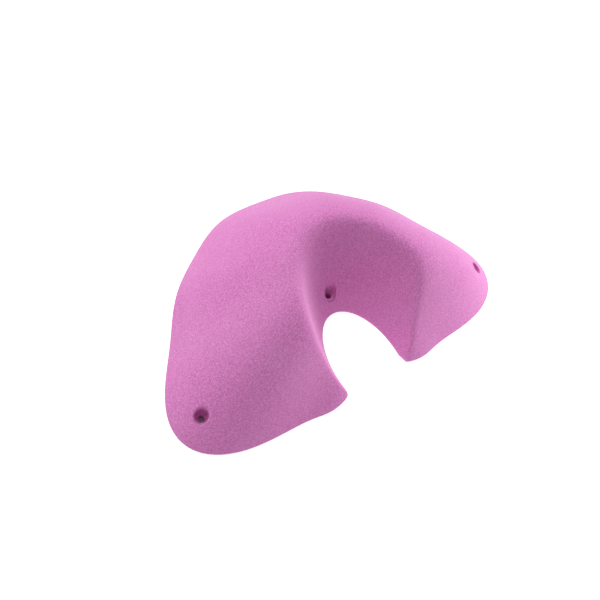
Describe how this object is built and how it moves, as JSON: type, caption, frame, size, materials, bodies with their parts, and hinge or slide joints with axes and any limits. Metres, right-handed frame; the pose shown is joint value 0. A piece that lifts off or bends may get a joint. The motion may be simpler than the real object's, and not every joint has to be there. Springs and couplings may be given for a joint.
{
  "type": "climbing hold",
  "caption": "Large hollow glass-fibre climbing hold: a croissant-shaped dome with a deep scooped bowl and a rounded notch, bolted to a climbing wall.",
  "frame": {"origin": "middle of the plan's box, on the flat back that meets the climbing wall", "axes": "+Z out of the wall, +X from lobe to lobe, +Y from the notch to the crown"},
  "size_m": [0.615, 0.3766, 0.139],
  "materials": {
    "textured_shell": "fine grit texture coat over glass-fibre laminate",
    "cup_laminate": "moulded laminate",
    "washer_steel": "plain zinc",
    "rib_plywood": "raw birch plywood",
    "bonding_putty": "cured bonding putty"
  },
  "bodies": {
    "root": {"shell": "textured_shell", "bolt_cup_left": "cup_laminate", "bolt_cup_centre": "cup_laminate", "bolt_cup_right": "cup_laminate", "bolt_washer_left": "washer_steel", "bolt_washer_centre": "washer_steel", "bolt_washer_right": "washer_steel", "rib_spine": "rib_plywood", "rib_shoulder_left": "rib_plywood", "rib_shoulder_right": "rib_plywood", "rib_lobe_left": "rib_plywood", "rib_lobe_right": "rib_plywood", "fillet_spine": "bonding_putty", "fillet_shoulder_left": "bonding_putty", "fillet_shoulder_right": "bonding_putty", "fillet_lobe_left": "bonding_putty", "fillet_lobe_right": "bonding_putty"}
  },
  "joints": []
}
